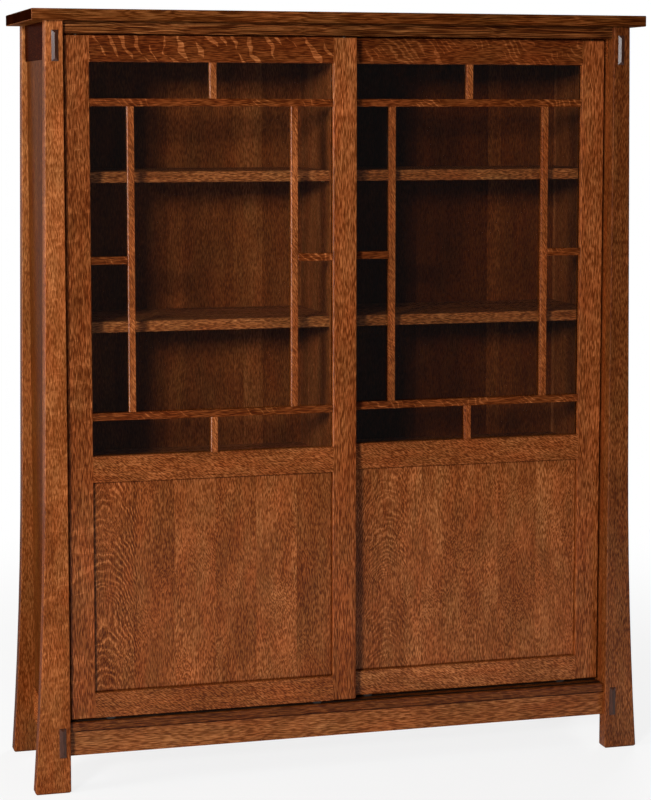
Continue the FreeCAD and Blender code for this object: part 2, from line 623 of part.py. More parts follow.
class Door:
    """One sliding door; every piece is placed from its lower left corner."""

    def __init__(self, side, x, y):
        self.side = side
        self.x = x
        self.y = y

    def at(self, x, y, z):
        """A place in the case from a place in the door."""
        return ("{} + {}".format(self.x, x), "{} + {}".format(self.y, y),
                "door_bottom + {}".format(z))

    def body(self, name, x, y, z):
        """A new body of this door."""
        return new_body("{}_door_{}".format(self.side, name), self.at(x, y, z))

    def stile(self, name, x, edge_x):
        """Stile: panel groove below, glass rabbet above, guide-pin hole on top."""
        body = self.body(name, x, "0", "0")
        block(body, ("stile_width", "door_thickness", "door_height"))
        inner = size("stile_width") if edge_x != "0" else 0
        ease(body, edges=edges_where(body.Tip.Shape, lambda middle: abs(middle.x - inner) > 1))
        cut(body, ("groove_depth", "panel_thickness", "door_height"),
            (edge_x, "panel_recess", "0"))
        cut(body, ("groove_depth", "door_thickness - panel_recess - panel_thickness",
                   "glass_opening + 2 * groove_depth"),
            (edge_x, "panel_recess + panel_thickness", "glass_z - groove_depth"))
        inner_x = "stile_width" if edge_x != "0" else "0"
        stopped_bevel(body, "glass_opening", (inner_x, "0", "glass_z"))
        stopped_bevel(body, "panel_opening", (inner_x, "0", "bottom_rail_height"))
        bore(body, "guide_pin_diameter", "guide_pin_seat",
             ("stile_width / 2", "door_thickness / 2", "door_height - guide_pin_seat"),
             V(0, 0, 1))

    def rail(self, name, z, height, lower, upper):
        """Rail with stub tenons; lower and upper name what each edge holds."""
        body = self.body(name, "stile_width - groove_depth", "0", z)
        block(body, ("rail_length + 2 * groove_depth", "door_thickness", height))
        shoulder = ("0", "rail_length + groove_depth")
        rear = "door_thickness - panel_recess - panel_thickness"
        for x in shoulder:
            cut(body, ("groove_depth", "panel_recess", height), (x, "0", "0"))
            cut(body, ("groove_depth", rear, height), (x, "panel_recess + panel_thickness", "0"))
        for what, edge_z in ((lower, "0"), (upper, height + " - groove_depth")):
            if what:
                deep = "panel_thickness" if what == "panel" else "door_thickness - panel_recess"
                cut(body, ("rail_length + 2 * groove_depth", deep, "groove_depth"),
                    ("0", "panel_recess", edge_z))
                front_z = "0" if edge_z == "0" else height
                stopped_bevel(body, "rail_length", ("groove_depth", "0", front_z), V(1, 0, 0))
        return body

    def rollers(self, rail):
        """Pockets in the bottom rail, axles and rollers."""
        axles = []
        for number, x in (("left", "roller_inset"), ("right", "door_width - roller_inset")):
            local = x + " - stile_width + groove_depth"
            cut(rail, ("pocket_length", "pocket_width", "pocket_depth"),
                (local + " - pocket_length / 2", "door_thickness / 2 - pocket_width / 2", "0"))
            bore(rail, "axle_diameter", "axle_length",
                 (local, "door_thickness / 2 - axle_length / 2", "axle_z"), V(0, 1, 0))
            axle = doc.addObject("Part::Cylinder", "Axle")
            bind(axle, "Radius", "axle_diameter / 2")
            bind(axle, "Height", "axle_length")
            axle.Placement.Rotation = FreeCAD.Rotation(V(0, 0, 1), V(0, 1, 0))
            place(axle, self.at(x, "door_thickness / 2 - axle_length / 2", "axle_z"))
            axles.append(axle)
            roller(self.body(number + "_roller", x, "door_thickness / 2", "axle_z"))
        grouped("{}_door_axles".format(self.side), axles)

    def glazing(self):
        """Glass pane and the four beads that hold it from behind."""
        pane = self.body("glass", "stile_width - edge_hold", "panel_recess",
                         "glass_z - edge_hold")
        block(pane, ("rail_length + 2 * edge_hold", "glass_thickness",
                     "glass_opening + 2 * edge_hold"))
        y = "panel_recess + glass_thickness"
        deep = "door_thickness - panel_recess - glass_thickness"
        beads = []
        long = "rail_length + 2 * groove_depth"
        for z in ("glass_z - groove_depth", "glass_z + glass_opening"):
            beads.append(self.bar((long, deep, "groove_depth"),
                                  ("stile_width - groove_depth", y, z), None))
        for x in ("stile_width - groove_depth", "stile_width + rail_length"):
            beads.append(self.bar(("groove_depth", deep, "glass_opening"),
                                  (x, y, "glass_z"), None))
        grouped("{}_door_glass_beads".format(self.side), beads)

    def bar(self, extent, where, eased="fine_ease"):
        """One bar of a group."""
        body = doc.addObject("PartDesign::Body", "Bar")
        place(body, self.at(*where))
        block(body, extent)
        if eased:
            front = edges_where(body.Tip.Shape, lambda middle: middle.y < 1e-6)
            ease(body, eased, front)
        return body

    def muntins(self):
        """Border-light lattice: long bars frame a middle light, short bars
        halve the four borders. All bars butt and lie on the glass."""
        y = "muntin_setback"
        deep = "panel_recess - muntin_setback"
        low = "glass_z + border_light_height"
        high = "glass_z + glass_opening - border_light_height - muntin_height"
        middle_z = "glass_z + glass_opening / 2 - muntin_height / 2"
        left = "stile_width + border_light_width"
        right = "stile_width + rail_length - border_light_width - muntin_width"
        middle_x = "stile_width + rail_length / 2 - muntin_width / 2"
        cross = []
        for z in (low, high):
            cross.append(self.bar(("rail_length", deep, "muntin_height"), ("stile_width", y, z)))
        for x in ("stile_width", "stile_width + rail_length - border_light_width"):
            cross.append(self.bar(("border_light_width", deep, "muntin_height"),
                                  (x, y, middle_z)))
        upright = []
        for x in (left, right):
            upright.append(self.bar(("muntin_width", deep, "upright_height"),
                                    (x, y, low + " + muntin_height")))
        for z in ("glass_z", "glass_z + glass_opening - border_light_height"):
            upright.append(self.bar(("muntin_width", deep, "border_light_height"),
                                    (middle_x, y, z)))
        grouped("{}_door_cross_muntins".format(self.side), cross)
        grouped("{}_door_upright_muntins".format(self.side), upright)

    def guide_pins(self):
        """Two pins in the top edge that run in the header's groove."""
        pins = []
        for x in ("stile_width / 2", "door_width - stile_width / 2"):
            pin = doc.addObject("Part::Cylinder", "GuidePin")
            bind(pin, "Radius", "guide_pin_diameter / 2")
            bind(pin, "Height", "guide_pin_seat + guide_pin_rise")
            place(pin, self.at(x, "door_thickness / 2", "door_height - guide_pin_seat"))
            pins.append(pin)
        grouped("{}_door_guide_pins".format(self.side), pins)

    def build(self):
        """Make every piece of the door."""
        self.stile("left_stile", "0", "stile_width - groove_depth")
        self.stile("right_stile", "door_width - stile_width", "0")
        self.rail("top_rail", "door_height - top_rail_height", "top_rail_height", "glass", None)
        self.rail("mid_rail", "mid_rail_z", "mid_rail_height", "panel", "glass")
        bottom = self.rail("bottom_rail", "0", "bottom_rail_height", None, "panel")
        self.rollers(bottom)
        panel = self.body("wood_panel", "stile_width - edge_hold", "panel_recess",
                          "bottom_rail_height - edge_hold")
        block(panel, ("rail_length + 2 * edge_hold", "panel_thickness",
                      "panel_opening + 2 * edge_hold"))
        self.glazing()
        self.muntins()
        self.guide_pins()


def roller(body):
    """Plain roller, turned about the Y axis, centred on its axle."""
    plane = [f for f in body.Origin.OriginFeatures if f.Role == "XY_Plane"][0]
    sketch = body.newObject("Sketcher::SketchObject", "Section")
    sketch.AttachmentSupport = [(plane, "")]
    sketch.MapMode = "FlatFace"
    bore_radius = size("axle_diameter") / 2 + size("axle_clearance")
    tread = size("roller_radius")
    half = size("roller_width") / 2
    corners = (V(bore_radius, -half, 0), V(tread, -half, 0), V(tread, half, 0),
               V(bore_radius, half, 0))
    lines = []
    for number, corner in enumerate(corners):
        following = corners[(number + 1) % len(corners)]
        lines.append(sketch.addGeometry(Part.LineSegment(corner, following)))
    for number, line in enumerate(lines):
        following = lines[(number + 1) % len(lines)]
        sketch.addConstraint(Sketcher.Constraint("Coincident", line, 2, following, 1))
        kind = "Horizontal" if number % 2 == 0 else "Vertical"
        sketch.addConstraint(Sketcher.Constraint(kind, line))
    near_side, outer, far_side, inner = lines
    origin = -1
    radius = "axle_diameter / 2 + axle_clearance"
    drive(sketch, "DistanceX", origin, 1, near_side, 1, bore_radius, radius)
    drive(sketch, "DistanceX", origin, 1, near_side, 2, tread, "roller_radius")
    drive(sketch, "DistanceY", near_side, 1, origin, 1, half, "roller_width / 2")
    drive(sketch, "DistanceY", origin, 1, far_side, 1, half, "roller_width / 2")
    turn = body.newObject("PartDesign::Revolution", "Turn")
    turn.Profile = sketch
    turn.ReferenceAxis = (sketch, ["V_Axis"])
    turn.Angle = 360
    doc.recompute()


def check_and_export():
    """Refuse anything failed, then write one file per sub-part."""
    for obj in doc.Objects:
        if "Invalid" in obj.State or "Error" in obj.State:
            raise RuntimeError("{} failed: {}".format(obj.Name, obj.State))
    os.makedirs("parts", exist_ok=True)
    for label, obj in nodes.items():
        shape = obj.Shape
        if shape.isNull() or not shape.isValid() or shape.Volume <= 0:
            raise RuntimeError(label + " has no valid shape")
    for label, obj in nodes.items():
        obj.Shape.exportStep("parts/{}.step".format(label))
    print("{} sub-parts written".format(len(nodes)))


case()
Door("left", "left_door_x", "front_door_y").build()
Door("right", "right_door_x", "front_door_y + door_pitch_y").build()
doc.recompute()
check_and_export()
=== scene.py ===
# %% [markdown]
# # An oak bookcase with two sliding doors
#
# The joinery is already made: the CAD model brings every board, pane, roller and pin in its true place, in
# metres. This lesson gives those pieces their finishes, lights them like a furniture maker's own studio and
# sets the camera. The first cell loads the frame and can read the box of each piece.

# %% Load the joinery
import math

import bpy
import numpy as np
from mathutils import Matrix, Vector


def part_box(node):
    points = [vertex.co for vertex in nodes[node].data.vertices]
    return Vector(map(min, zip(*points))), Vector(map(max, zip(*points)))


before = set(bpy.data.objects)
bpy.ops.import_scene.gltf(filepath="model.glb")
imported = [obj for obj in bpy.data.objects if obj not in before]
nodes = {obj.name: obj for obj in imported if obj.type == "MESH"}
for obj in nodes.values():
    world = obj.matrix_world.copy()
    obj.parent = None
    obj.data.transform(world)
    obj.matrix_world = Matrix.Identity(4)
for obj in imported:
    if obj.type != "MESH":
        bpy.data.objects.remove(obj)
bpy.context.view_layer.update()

# %% [markdown]
# ## Colours for a shader
#
# A painter names a colour by the numbers of a screen, from 0 to 255. A shader counts light itself, and the
# screen's numbers don't grow evenly with it. Light values could be typed in, but they are hard to picture,
# so the lesson names screen colours and turns them with the screen's own curve.

# %% Screen colours to light values
WHITE = (1.0, 1.0, 1.0, 1.0)


def srgb(red, green, blue):
    """Light values of a screen colour: a straight foot up to 0.04045, and a power of 2.4 above it."""
    seen = np.array([red, green, blue], float) / 255.0
    foot = seen / 12.92
    curve = ((seen + 0.055) / 1.055) ** 2.4
    return tuple(float(light) for light in np.where(seen <= 0.04045, foot, curve)) + (1.0,)


print("a screen grey of 128 gives this share of the light:", round(srgb(128, 128, 128)[0], 3))

# %% [markdown]
# ## A short hand for shader nodes
#
# A wood finish is a long chain of small sums. Blender draws each sum as a node, and writing every link by
# hand hides the idea behind the finish. These helpers put one node on a tree, feed its sockets with numbers
# or with other nodes' outputs, and hand back its output, so that a finish can be read like a formula.

# %% Lay one node and feed it


def feed(tree, socket, value):
    """Links an output to a socket, or writes a plain value into it."""
    if isinstance(value, bpy.types.NodeSocket):
        tree.links.new(value, socket)
    else:
        socket.default_value = value


def lay(tree, kind, inputs=(), **settings):
    """Puts one node on the tree. Settings are the node's own choices, inputs are what its sockets get."""
    node = tree.nodes.new(kind)
    for name, value in settings.items():
        setattr(node, name, value)
    for name, value in dict(inputs).items():
        feed(tree, node.inputs[name], value)
    return node


def maths(tree, operation, *values):
    """One sum on plain numbers: ADD, MULTIPLY, SUBTRACT, ABSOLUTE and so on."""
    return lay(tree, "ShaderNodeMath", enumerate(values), operation=operation).outputs[0]


def vectors(tree, operation, *values):
    """One sum on three numbers at once."""
    node = lay(tree, "ShaderNodeVectorMath", enumerate(values), operation=operation)
    return node.outputs["Value" if operation in ("DOT_PRODUCT", "LENGTH") else "Vector"]


def split(tree, vector):
    """The three numbers of a place or a direction, as outputs X, Y and Z."""
    return lay(tree, "ShaderNodeSeparateXYZ", {"Vector": vector}).outputs


def joined(tree, **numbers):
    """A place, direction or colour made of its X, Y and Z. One that isn't said is 0."""
    return lay(tree, "ShaderNodeCombineXYZ", numbers).outputs["Vector"]


def summed(tree, *values):
    """The sum of any number of values, added from left to right."""
    total = values[0]
    for value in values[1:]:
        total = maths(tree, "ADD", total, value)
    return total


print("helpers for sums are ready")

# %% [markdown]
# ## Places, noise and smooth steps
#
# Every pattern below is made of three things: a place on the piece, soft noise that is read there, and a
# smooth step that turns the noise into an edge. An image would need its own file and an unwrapped mesh.
# Noise needs only the place, and it never repeats.

# %% Read a place, read noise there, make an edge


def object_place(tree):
    """The place on the piece in metres, in the object's own axes."""
    return tree.nodes.new("ShaderNodeTexCoord").outputs["Object"]


def facing(tree):
    """The direction that a face looks."""
    return tree.nodes.new("ShaderNodeNewGeometry").outputs["Normal"]


def counted(tree, where, to_the_metre):
    """The place counted in steps: to_the_metre says how many of them make a metre on each axis."""
    return vectors(tree, "MULTIPLY", where, to_the_metre)


def stretched(tree, where, size):
    """The place counted in pattern sizes. A size is metres along X, and metres across on Y and Z."""
    length, width = size
    return counted(tree, where, (1 / length, 1 / width, 1 / width))


def noise(tree, where, detail, roughness=0.5):
    """Soft random numbers around a half, one for each place, which is counted in steps already."""
    inputs = {"Vector": where, "Scale": 1.0, "Detail": detail, "Roughness": roughness}
    return lay(tree, "ShaderNodeTexNoise", inputs).outputs["Fac"]


def swing(tree, value, amount):
    """Turns soft random numbers around a half into a swing around zero, amount times as large."""
    return maths(tree, "MULTIPLY", maths(tree, "SUBTRACT", value, 0.5), amount)


def slope(tree, value, start, end, low=0.0, high=1.0):
    """A smooth step: low before start, high after end."""
    inputs = {"Value": value, "From Min": start, "From Max": end, "To Min": low, "To Max": high}
    return lay(tree, "ShaderNodeMapRange", inputs, interpolation_type="SMOOTHSTEP").outputs["Result"]


def off_line(tree, value, step):
    """How far a value is from a line, with one line in each step: 0 on it, 1 half way to the next."""
    turn = maths(tree, "FRACT", maths(tree, "DIVIDE", value, step))
    return maths(tree, "ABSOLUTE", maths(tree, "MULTIPLY_ADD", turn, 2.0, -1.0))


print("helpers for patterns are ready")

# %% [markdown]
# ## Skins
#
# A finish ends in a shader: the rule by which a skin throws light back. Nearly all of them here are the
# Principled shader, fed with a colour, a roughness and a small relief. Relief could be cut into the mesh,
# but pores as fine as these would need millions of faces, so a Bump node only tilts the light.

# %% An empty material, relief and two shaders in one


def new_material(name):
    """An empty material, its tree and its output node."""
    material = bpy.data.materials.new(name)
    material.use_nodes = True
    tree = material.node_tree
    tree.nodes.clear()
    return material, tree, tree.nodes.new("ShaderNodeOutputMaterial")


def relief(tree, height, strength, metres):
    """The tilt of a skin with a relief: a height of 1 is so many metres, and strength is how much shows."""
    inputs = {"Height": height, "Strength": strength, "Distance": metres}
    return lay(tree, "ShaderNodeBump", inputs).outputs["Normal"]


def principled(tree, inputs):
    """The Principled shader with these sockets set and all others left as they come."""
    return lay(tree, "ShaderNodeBsdfPrincipled", inputs).outputs["BSDF"]


def mixed(tree, share, first, second):
    """Two shaders in one: the first where share is 0, the second where it is 1."""
    return lay(tree, "ShaderNodeMixShader", {0: share, 1: first, 2: second}).outputs["Shader"]


print("helpers for skins are ready")

# %% [markdown]
# ## Quarter-sawn oak
#
# Quarter-sawn oak is cut so that the growth rings stand upright in the board. Its face shows straight fine
# stripes along the grain, short dark pores, and light flakes that cross the grain at a slant, called ray
# fleck. Under a reddish brown stain the pores drink colour and go dark, and the hard rays stay light.
#
# The figure is worked out from the place in the wood, so every board gets its own and the lines run on
# round its edges. A place is read in the board's own directions: X along the grain, Y across the face and Z
# through the thickness. Each of the next cells gives one part of the figure, and a node group puts them
# together. Lightness is counted in steps of e: 0 is the stain as written, 0.7 is twice as light, and -0.7
# is half as light.
#
# ### Staves
#
# A wide panel is glued up from staves, because narrow boards stay flat. Each comes from another place in
# the log and takes the stain in its own way. Staves could be modelled one by one, but their joints are
# flush, so the finish draws them. The place across the panel, divided by a stave's width and rounded down,
# numbers the staves, and white noise gives each number its own luck.

# %% Staves of a wide panel
STAVE_SHIFT = (3.0, 2.0, 1.0)  # metres that two staves lie apart in the log, at most
STAVE_LIGHT = 0.30  # lightness from the darkest stave to the lightest


def in_the_log(tree, board, width):
    """The place in the log that a stave was cut from, and how light that stave came out."""
    number = maths(tree, "FLOOR", maths(tree, "DIVIDE", split(tree, board)["Y"], width))
    luck = lay(tree, "ShaderNodeTexWhiteNoise", {"W": number}, noise_dimensions="1D").outputs
    shift = vectors(tree, "MULTIPLY", luck["Color"], STAVE_SHIFT)
    return vectors(tree, "ADD", board, shift), swing(tree, luck["Value"], STAVE_LIGHT)


print("staves lie up to", STAVE_SHIFT[0], "m apart in the log")

# %% [markdown]
# ### Stripes and pores
#
# The fine stripes are cut growth rings, and the pores are vessels that the saw laid open. All follow the
# grain, which is never dead straight. They could be drawn line by line, but soft noise does it in one
# stroke when it is stretched along the grain and squeezed across it. Several sizes lie over each other, and
# slow waves and a small wobble push the place sideways first, so that the lines bend together.

# %% Stripes and pores
WAVES = (3.2, 7.0, 7.0)  # to the metre: along the grain, across the face and through the board
WAVE_SWING = 6.0  # times flow, from side to side
WOBBLES = (22.0, 40.0, 40.0)
WOBBLE_PUSH = 0.0025  # metres from side to side
COMB_SIZE = (0.012, 0.0016)  # metres along the grain and across it, here and for the next four
STREAK_SIZE = (0.050, 0.0026)
RING_SIZE = (0.60, 0.011)
CLOUD_SIZE = (0.16, 0.07)
PORE_SIZE = (0.009, 0.0010)
PORE_EDGE = (0.56, 0.68)  # noise where a pore begins, and where it is full
MOTTLES = (38.0, 60.0, 60.0)  # to the metre


def waved(tree, place, flow):
    """The place after the grain's own waves: flow scales the slow ones, the quick wobble is always there."""
    wave = noise(tree, counted(tree, place, WAVES), detail=1.0)
    wobble = noise(tree, counted(tree, place, WOBBLES), detail=0.0)
    push = maths(tree, "MULTIPLY", swing(tree, wave, WAVE_SWING), flow)
    push = maths(tree, "MULTIPLY_ADD", swing(tree, wobble, 1.0), WOBBLE_PUSH, push)
    return vectors(tree, "ADD", place, joined(tree, Y=push, Z=push))


def stripes(tree, place, grain, draw, tilt):
    """The patterns by name. Draw makes comb and streaks longer, tilt lays the comb at a slant."""
    longer = joined(tree, X=maths(tree, "DIVIDE", 1.0, draw), Y=1.0, Z=1.0)
    drawn = vectors(tree, "MULTIPLY", grain, longer)
    rise = maths(tree, "MULTIPLY", split(tree, grain)["X"], tilt)
    slanted = vectors(tree, "ADD", drawn, joined(tree, Y=rise))
    pores = noise(tree, stretched(tree, grain, PORE_SIZE), detail=0.0)
    return {
        "comb": noise(tree, stretched(tree, slanted, COMB_SIZE), detail=0.0),
        "streaks": noise(tree, stretched(tree, drawn, STREAK_SIZE), detail=1.0),
        "rings": noise(tree, stretched(tree, grain, RING_SIZE), detail=3.0, roughness=0.6),
        "clouds": noise(tree, stretched(tree, place, CLOUD_SIZE), detail=2.0),
        "mottle": noise(tree, counted(tree, place, MOTTLES), detail=2.0),
        "pores": slope(tree, pores, *PORE_EDGE),
    }


print("a pore is", PORE_SIZE[0] * 1000, "mm long and", PORE_SIZE[1] * 1000, "mm wide")

# %% [markdown]
# ### Ray fleck
#
# Rays are hard ribbons that run from the heart of the tree to its bark. A quarter-sawn face cuts them
# almost flat, and they show as light flakes in slanting rows. Plain noise gives blots instead of ribbons, so
# the rows are ribs here: lines that cross the board at a slant, one to each step. A slow bend and a quick
# crimp make them wander, and patchy noise sets how wide each stretch is, so that a rib swells to a flake in
# one place and dies out in the next.

# %% Ray fleck
BENDS, BEND_SWING = (17.0, 17.0, 17.0), 0.055  # to the metre, and metres from side to side
CRIMPS, CRIMP_SWING = (48.0, 60.0, 60.0), 0.014
PATCHES = (15.0, 20.0, 20.0)
PATCH_EDGE = (0.36, 0.72)  # noise where a rib starts to show, and where it is widest
RIB_WIDTH = (-0.12, 0.40)  # its width there, as a share of the way to the next rib; below 0 it is gone
FLAKE_EDGE = (-0.05, 0.06)  # how far inside that width a spot has to lie, for a flake to begin and be full


def ray_fleck(tree, place, grain, lean, rib):
    """Flakes, 1 on a flake and 0 between: near the lines where X - lean * Y has grown by one more rib."""
    spots = split(tree, grain)
    along = maths(tree, "SUBTRACT", spots["X"], maths(tree, "MULTIPLY", spots["Y"], lean))
    bend = noise(tree, counted(tree, place, BENDS), detail=0.0)
    crimp = noise(tree, counted(tree, place, CRIMPS), detail=0.0)
    crossing = summed(tree, along, swing(tree, bend, BEND_SWING), swing(tree, crimp, CRIMP_SWING))
    patches = noise(tree, counted(tree, place, PATCHES), detail=1.0)
    width = slope(tree, patches, *PATCH_EDGE, *RIB_WIDTH)
    return slope(tree, maths(tree, "SUBTRACT", width, off_line(tree, crossing, rib)), *FLAKE_EDGE)


print("a rib is at most", RIB_WIDTH[1], "of the way to the next one wide")

# %% [markdown]
# ### Stain
#
# Stain gathers in pores and soft wood, and the end of a board drinks so much that it goes nearly black. A
# plain sum of all patterns says how light each spot came out. A deeper stain swallows green faster than
# red, and blue fastest, so dark wood is red and light wood is amber. A mix of two picked colours would miss
# that, so each colour falls off at a speed of its own. The wood wanders too, from redder to more olive.

# %% Stain
OAK_STAIN = (133, 70, 32)  # red, green and blue of a screen colour
STAIN_SPEED = (1.0, 1.28, 1.62)  # how fast each colour falls off
OLIVE_GAIN = (-0.2, 0.3, 0.5)  # what an olive patch adds to each colour
OLIVES, OLIVE_SWING = (9.0, 26.0, 26.0), 0.9  # patches to the metre, and how strong they are
COMB_EDGE, COMB_LIGHT = (0.34, 0.66), 0.48  # noise from a dark tooth to a light one, and their lightness
STREAK_LIGHT, RING_LIGHT = 0.7, 0.6  # lightness from the darkest to the lightest, here and in the next line
CLOUD_LIGHT, MOTTLE_LIGHT = 0.9, 0.30
PORE_LIGHT, FLECK_LIGHT = -0.25, 0.95  # lightness in a pore and on a flake
END_EDGE, END_LIGHT = (0.80, 0.95), -2.5  # how squarely a face looks along the grain, and lightness there


def stained(tree, given, stave, pattern, fleck):
    """The lightness of a spot: the board's own and its stave's, and the share of every pattern."""
    teeth = slope(tree, pattern["comb"], *COMB_EDGE, -COMB_LIGHT, COMB_LIGHT)
    streaks = swing(tree, pattern["streaks"], STREAK_LIGHT)
    lines = summed(tree, teeth, streaks, swing(tree, pattern["rings"], RING_LIGHT))
    light = maths(tree, "MULTIPLY_ADD", lines, given["comb"], given["lightness"])
    light = maths(tree, "MULTIPLY_ADD", swing(tree, pattern["clouds"], CLOUD_LIGHT), given["cloud"], light)
    light = maths(tree, "MULTIPLY_ADD", swing(tree, pattern["mottle"], MOTTLE_LIGHT), given["cloud"], light)
    light = maths(tree, "ADD", light, stave)
    light = maths(tree, "MULTIPLY_ADD", pattern["pores"], PORE_LIGHT, light)
    light = maths(tree, "MULTIPLY_ADD", fleck, FLECK_LIGHT, light)
    return maths(tree, "ADD", light, slope(tree, given["end grain"], *END_EDGE, 0.0, END_LIGHT))


def wood_colour(tree, place, light, olive):
    """Each colour is its share of the stain times exp(speed * lightness + gain * olive)."""
    patches = noise(tree, counted(tree, place, OLIVES), detail=1.0)
    olive = maths(tree, "ADD", swing(tree, patches, OLIVE_SWING), olive)
    colours = {}
    for axis, share, speed, gain in zip("XYZ", srgb(*OAK_STAIN), STAIN_SPEED, OLIVE_GAIN):
        power = maths(tree, "MULTIPLY_ADD", olive, gain, maths(tree, "MULTIPLY", light, speed))
        colours[axis] = maths(tree, "MULTIPLY", maths(tree, "EXPONENT", power), share)
    return joined(tree, **colours)


print("the stain in light values:", [round(share, 3) for share in srgb(*OAK_STAIN)[:3]])

# %% [markdown]
# ### One group for all boards
#
# All boards are of the same wood and need the same chain of nodes. It could be copied into each material,
# but a node group holds it once, and each board only turns the group's dials.

# %% Put the figure together
DIALS = {  # each dial of the figure, with its value where a board says nothing else
    "comb": 1.0,  # strength of the stripes
    "cloud": 1.0,  # strength of the broad light and dark patches
    "fleck": 0.2,  # strength of the ray fleck
    "lean": 0.8,  # slant of its ribs: metres along the grain for each metre across it
    "rib": 0.024,  # metres from one rib to the next
    "draw": 1.0,  # how many times longer the finest stripes are drawn out
    "tilt": 0.0,  # slant of the finest stripes: metres across the grain for each metre along it
    "olive": 0.0,  # less red in the wood, and more green and blue
    "flow": 0.004,  # about how many metres slow waves push the grain aside
    "stave": 9.0,  # metres across one stave; 9 is far wider than any board
}
OAK_ROUGH = 0.50
PORE_ROUGH, FLECK_ROUGH, CLOUD_ROUGH = 0.12, -0.08, 0.20  # what each pattern adds to it
PORE_HEIGHT, COMB_HEIGHT, FLECK_HEIGHT = -1.0, 0.6, 0.25  # shares of the relief


def oak_figure():
    """Builds the group. The board's place and the dials go in, and colour, roughness and height come out."""
    tree = bpy.data.node_groups.new("quartersawn oak", "ShaderNodeTree")
    asked = [("board", "Vector"), ("lightness", "Float"), ("end grain", "Float")]
    asked += [(dial, "Float") for dial in DIALS]
    answers = [("colour", "Color"), ("roughness", "Float"), ("height", "Float")]
    sockets = [(*socket, "INPUT") for socket in asked] + [(*socket, "OUTPUT") for socket in answers]
    for name, kind, side in sockets:
        tree.interface.new_socket(name, in_out=side, socket_type="NodeSocket" + kind)
    given = tree.nodes.new("NodeGroupInput").outputs

    place, stave = in_the_log(tree, given["board"], given["stave"])
    grain = waved(tree, place, given["flow"])
    pattern = stripes(tree, place, grain, given["draw"], given["tilt"])
    pores, clouds = pattern["pores"], pattern["clouds"]
    flakes = ray_fleck(tree, place, grain, given["lean"], given["rib"])
    fleck = maths(tree, "MULTIPLY", flakes, given["fleck"])
    light = stained(tree, given, stave, pattern, fleck)

    roughness = maths(tree, "MULTIPLY_ADD", pores, PORE_ROUGH, OAK_ROUGH)
    roughness = maths(tree, "MULTIPLY_ADD", fleck, FLECK_ROUGH, roughness)
    roughness = maths(tree, "ADD", roughness, swing(tree, clouds, CLOUD_ROUGH))
    height = maths(tree, "MULTIPLY", pattern["comb"], COMB_HEIGHT)
    height = maths(tree, "MULTIPLY_ADD", pores, PORE_HEIGHT, height)
    height = maths(tree, "MULTIPLY_ADD", fleck, FLECK_HEIGHT, height)
    given_back = tree.nodes.new("NodeGroupOutput").inputs
    feed(tree, given_back["colour"], wood_colour(tree, place, light, given["olive"]))
    feed(tree, given_back["roughness"], roughness)
    feed(tree, given_back["height"], height)
    return tree


oak = oak_figure()
print("nodes in the oak figure:", len(oak.nodes))

# %% [markdown]
# ## From a place in the room to a place in the log
#
# Boards of one bookcase come from several planks, and no two show the same figure. The meshes could be
# turned and moved, but they have to stay where the joiner put them. So a Mapping node turns only the
# coordinates: its X runs along that board's grain, and a random shift, drawn with the board's name as the
# seed, finds another part of the log for each.

# %% Turn a board's grain
GRAIN = {  # rows are the board's X (along the grain), Y (across the face) and Z (through it) in object axes
    "rail": Matrix(((1, 0, 0), (0, 0, 1), (0, -1, 0))),
    "stile": Matrix(((0, 0, 1), (1, 0, 0), (0, 1, 0))),
    "side": Matrix(((0, 0, 1), (0, 1, 0), (-1, 0, 0))),
    "shelf": Matrix(((1, 0, 0), (0, 1, 0), (0, 0, 1))),
    "side rail": Matrix(((0, 1, 0), (0, 0, 1), (1, 0, 0))),
}
LOG_REACH = 9  # metres that a board's place lies from the middle of the log, at most


def name_number(name):
    """A whole number for a name: each letter's own number times its place in the name, all added up."""
    return sum(place * ord(letter) for place, letter in enumerate(name, start=1))


def board_place(tree, way, number):
    """The board's own coordinates, turned the way of its grain and moved to its place in the log."""
    chance = np.random.default_rng(number)
    mapping = lay(tree, "ShaderNodeMapping", {"Vector": object_place(tree)}, vector_type="POINT")
    mapping.inputs["Rotation"].default_value = GRAIN[way].to_euler()
    mapping.inputs["Location"].default_value = chance.uniform(-LOG_REACH, LOG_REACH, 3).round(3).tolist()
    return mapping.outputs["Vector"]


def end_grain(tree, way):
    """How squarely a face looks along the grain: 1 on the board's two ends, 0 on its faces and edges."""
    return maths(tree, "ABSOLUTE", vectors(tree, "DOT_PRODUCT", facing(tree), tuple(GRAIN[way][0])))


print("ways that grain runs:", ", ".join(GRAIN))

# %% [markdown]
# ## Arched flakes
#
# One stave in each door's panel was cut nearer the heart of the tree. Its flakes don't run in rows: they
# nest in arches that fall away on both sides of one knot. Noise can't be steered that well, so the flakes
# lie between contour lines, as on a map, of a landscape whose valley and dimple are put where the arches
# have to be.

# %% Arched flakes on one stave
ARCHES = {  # X and Z of the knot, X of the stave's end, metres from flake to flake, and how bold they are
    "left": {"knot_x": -0.589, "knot_z": 0.4375, "seam": -0.511, "step": 0.021, "strength": 1.0},
    "right": {"knot_x": 0.118, "knot_z": 0.455, "seam": 0.172, "step": 0.016, "strength": 0.6},
}
ARCH_CURVE = 20.0  # to the metre
DIMPLE_DEPTH, DIMPLE_RADIUS = -0.07, 0.04  # metres
RIPPLES, RIPPLE_SWING = (30.0, 30.0, 30.0), 0.050  # to the metre, and metres
BOLD_PATCHES = (22.0, 22.0, 14.0)  # to the metre
BOLD_EDGE, FAINT_SHARE = (0.32, 0.55), 0.25  # noise from faint to bold, and how strong a faint flake is
FLAKE = (0.55, 0.85, -0.20, 0.45)  # from where it begins to where it is full, and the lightness at each
GROOVE = (0.0, 0.35, -0.30, 0.0)  # the same for the dark line between two flakes, from its middle out
ARCH_LIGHT = -0.16  # lightness of the whole stave
SEAM_WIDTH = 0.002  # metres


